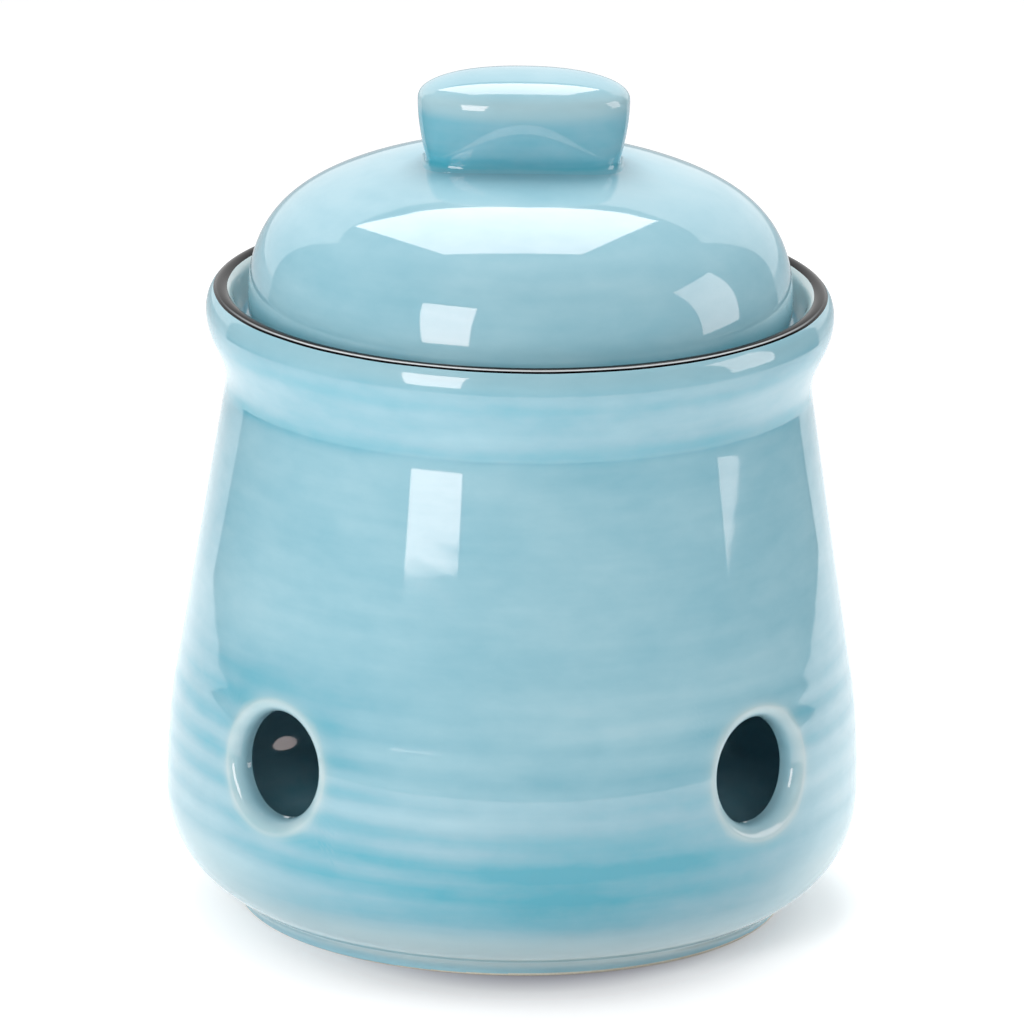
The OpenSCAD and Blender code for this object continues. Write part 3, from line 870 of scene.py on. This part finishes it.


# Matt white table, with a painted soft shadow that the jar sits in: it pales with the distance from a point
# under the jar, where the way across counts shadowAcross times, and shows to the camera alone. Seen, or
# mirrored from near by, the table also has a little light of its own, so that it reads as white.
def tableMaterial(look):
    material = emptyMaterial("matt white table")
    path = addNode(material, "ShaderNodeLightPath")
    place = addNode(material, "ShaderNodeTexCoord").outputs["Object"]
    middle, across = look["shadowAt"], look["shadowAcross"]
    place = addNode(material, "ShaderNodeMapping",
                    inputs={"Vector": place, "Scale": (across, 1, 1),
                            "Location": (-middle[0] * across, -middle[1], 0)}).outputs["Vector"]
    reach = addNode(material, "ShaderNodeVectorMath", {"operation": "LENGTH"}, {0: place}).outputs["Value"]

    def matt(colour):
        return addNode(material, "ShaderNodeBsdfDiffuse",
                       inputs={"Color": colour, "Roughness": look["roughness"]}).outputs[0]

    white = linear(look["white"])
    # The painted shadow: a ramp on the distance from its middle.
    shade = addRamp(material, addRange(material, reach, look["shadowSpan"]), look["shadow"])
    shade = addMix(material, path.outputs["Is Camera Ray"], (1, 1, 1, 1), shade)
    light = addNode(material, "ShaderNodeEmission", inputs={"Color": shade, "Strength": look["ownLight"]})
    both = addNode(material, "ShaderNodeAddShader",
                   inputs={0: matt(addMix(material, 1.0, white, shade, "MULTIPLY")), 1: light.outputs[0]})
    nearness = addRange(material, reach, look["mirrorSpan"], 1.0, 0.0)
    mirrored = addMath(material, "MULTIPLY", path.outputs["Is Glossy Ray"], nearness)
    seen = addMath(material, "MAXIMUM", path.outputs["Is Camera Ray"], mirrored)
    mix = addNode(material, "ShaderNodeMixShader", inputs={0: seen, 1: matt(white), 2: both.outputs[0]})
    addOutput(material, mix.outputs[0])
    return material


stage = {
    "floorR": 6.0,
    "tableR": 0.40,  # what mirrors in the glaze is a small white table in a dark studio
    "lift": 0.0006,  # the dark floor lies this much over the white one, metres
    "wallR": 1.35, "wallH": 1.27, "dark": "#1B1D20",
    "wallFrom": -130, "wallTo": 134,  # the rest of the turn is open to the white backdrop, degrees
    "white": "#F9F8F7", "roughness": 0.4,
    "ownLight": 0.44, "mirrorSpan": (0.3, 0.55),  # its own light, which fades in mirrored rays this far out
    "shadowAt": (0.002, -0.002), "shadowAcross": 1.28,  # middle of the painted shadow under the jar, metres
    "shadowSpan": (0.048, 0.084),  # where it is deepest, and where it ends
    "shadow": [(0.0, "#86838A"), (0.1, "#A5A2A7"), (0.3, "#D2D0D1"), (0.6, "#EEEDED"), (1.0, "#FFFFFF")],
}


# A flat ring sector, or a standing strip, between two radii or two heights.
def sector(name, inner, outer, lowZ, highZ, start, end, material):
    steps = 72
    phi = np.radians(np.linspace(start, end, steps + 1))
    points = np.vstack([ringPoint(inner, phi, lowZ), ringPoint(outer, phi, highZ)])
    i = np.arange(steps)
    mesh = bpy.data.meshes.new(name)
    mesh.from_pydata(points.tolist(), [], np.stack([i, i + 1, i + steps + 2, i + steps + 1], 1).tolist())
    mesh.materials.append(material)
    thing = bpy.data.objects.new(name, mesh)
    bpy.context.scene.collection.objects.link(thing)
    return thing


sector("tableTop", 0.0, stage["floorR"], 0.0, 0.0, 0, 360, tableMaterial(stage))
dark = darkMaterial(stage)
wallSpan = stage["wallFrom"], stage["wallTo"]
flags = [
    sector("darkWall", stage["wallR"], stage["wallR"], 0.0, stage["wallH"], *wallSpan, dark),
    sector("darkFloor", stage["tableR"], stage["wallR"], stage["lift"], stage["lift"], *wallSpan, dark),
    sector("darkCeiling", 0.0, stage["wallR"], stage["wallH"], stage["wallH"], 0, 360, dark),
]
for flag in flags:  # only mirrored in the glaze: they shade and show nothing else
    for kind in ("camera", "diffuse", "transmission", "volume_scatter", "shadow"):
        setattr(flag, "visible_" + kind, False)


# The place of something that looks at a point from a distance: its back is towards an azimuth, counted
# from the front, it looks down by the tilt and is rolled in its own plane, in degrees.
def facing(point, distance, azimuth, tilt, roll):
    a, e, r = (math.radians(angle) for angle in (azimuth, tilt, roll))
    back = Vector((math.sin(a) * math.cos(e), -math.cos(a) * math.cos(e), math.sin(e)))
    right = Vector((math.cos(a), math.sin(a), 0))
    up = back.cross(right)
    right, up = right * math.cos(r) + up * math.sin(r), up * math.cos(r) - right * math.sin(r)
    place = Matrix((right, up, back)).transposed().to_4x4()
    place.translation = Vector(point) + back * distance
    return place


# A soft rectangular lamp: its middle at an azimuth from the front, a distance and a height. It faces
# away from the azimuth `turn`, leans down by `lean` and is rolled (degrees, metres).
def softbox(name, lamp):
    light = bpy.data.lights.new(name, "AREA")
    light.shape, light.size, light.size_y = "RECTANGLE", lamp["width"], lamp["height"]
    light.energy = lamp["radiance"] * math.pi * lamp["width"] * lamp["height"]
    thing = bpy.data.objects.new(name, light)
    bpy.context.scene.collection.objects.link(thing)
    middle = ringPoint(lamp["distance"], math.radians(lamp["azimuth"]), lamp["z"])
    thing.matrix_world = facing(middle, 0, lamp["turn"], lamp["lean"], lamp["roll"])
    thing.visible_camera = False


lamps = {
    "leftSoftbox": {
        "azimuth": -32.1, "turn": -32.1, "distance": 0.844, "z": 0.340, "lean": 27.4, "roll": 3.6,
        "width": 0.331, "height": 0.5615, "radiance": 7.2},
    "rightSoftbox": {
        "azimuth": 89.4, "turn": 90.2, "distance": 0.863, "z": 0.316, "lean": 23.1, "roll": 2.3,
        "width": 0.375, "height": 0.617, "radiance": 3.3},
    "overheadSoftbox": {
        "azimuth": 186.5, "turn": 181.0, "distance": 0.316, "z": 0.85, "lean": 25.7, "roll": 0.0,
        "width": 0.527, "height": 0.578, "radiance": 5.2},
}
for name, lamp in lamps.items():
    softbox(name, lamp)


world = {
    "colour": "#F6F7FA",
    "fill": 0.15,  # light from the dark side of the studio, all round
    "ceiling": 0.62,  # how much of the backdrop's light comes down from above
    "backdrop": 0.84,  # light from the white backdrop behind the jar
    "span": (0.1, 0.6),  # where it begins and is full, on y + ceiling z
}


# The world is white to the camera and in mirrored or refracted rays. Elsewhere it is a soft fill that
# grows towards the backdrop and the ceiling by a smooth step.
def makeWorld(look):
    sky = bpy.data.worlds.new("studio")
    bpy.context.scene.world = sky
    sky.use_nodes = True
    sky.node_tree.nodes.clear()
    path = addNode(sky, "ShaderNodeLightPath")
    seen = addMath(sky, "MAXIMUM", path.outputs["Is Camera Ray"], path.outputs["Is Glossy Ray"])
    seen = addMath(sky, "MAXIMUM", seen, path.outputs["Is Transmission Ray"])
    way = addNode(sky, "ShaderNodeTexCoord").outputs["Generated"]
    parts = addNode(sky, "ShaderNodeSeparateXYZ", inputs={"Vector": way}).outputs
    behind = addMath(sky, "MULTIPLY_ADD", parts["Z"], look["ceiling"], parts["Y"])
    strength = addRange(sky, behind, look["span"], look["fill"], look["backdrop"], "SMOOTHSTEP")
    white = addNode(sky, "ShaderNodeBackground", inputs={"Color": (1, 1, 1, 1), "Strength": 1.0})
    soft = addNode(sky, "ShaderNodeBackground",
                   inputs={"Color": linear(look["colour"]), "Strength": strength})
    mix = addNode(sky, "ShaderNodeMixShader", inputs={0: seen, 1: soft.outputs[0], 2: white.outputs[0]})
    addNode(sky, "ShaderNodeOutputWorld", inputs={"Surface": mix.outputs[0]})


makeWorld(world)

view = {
    "azimuth": -1.25, "elevation": 16.34, "roll": 1.04,  # degrees
    "distance": 2.4659, "target": (0, 0, 0.074),  # metres
    "pixelsPerMetre": 5353.0, "frame": 1024,  # at the target, and the frame's width
    "shift": (-4.4, 2.1),  # pixels
    "sensor": 36.0, "clip": (0.05, 50),  # millimetres, and metres
}


def makeCamera(v):
    camera = bpy.data.objects.new("camera", bpy.data.cameras.new("camera"))
    bpy.context.scene.collection.objects.link(camera)
    camera.matrix_world = facing(v["target"], v["distance"], v["azimuth"], v["elevation"], v["roll"])
    camera.data.sensor_width = v["sensor"]
    camera.data.lens = v["sensor"] * v["pixelsPerMetre"] * v["distance"] / v["frame"]
    camera.data.shift_x, camera.data.shift_y = (pixels / v["frame"] for pixels in v["shift"])
    camera.data.clip_start, camera.data.clip_end = v["clip"]
    bpy.context.scene.camera = camera


makeCamera(view)
bpy.context.scene.view_settings.view_transform = "Standard"
print("stage and camera made")
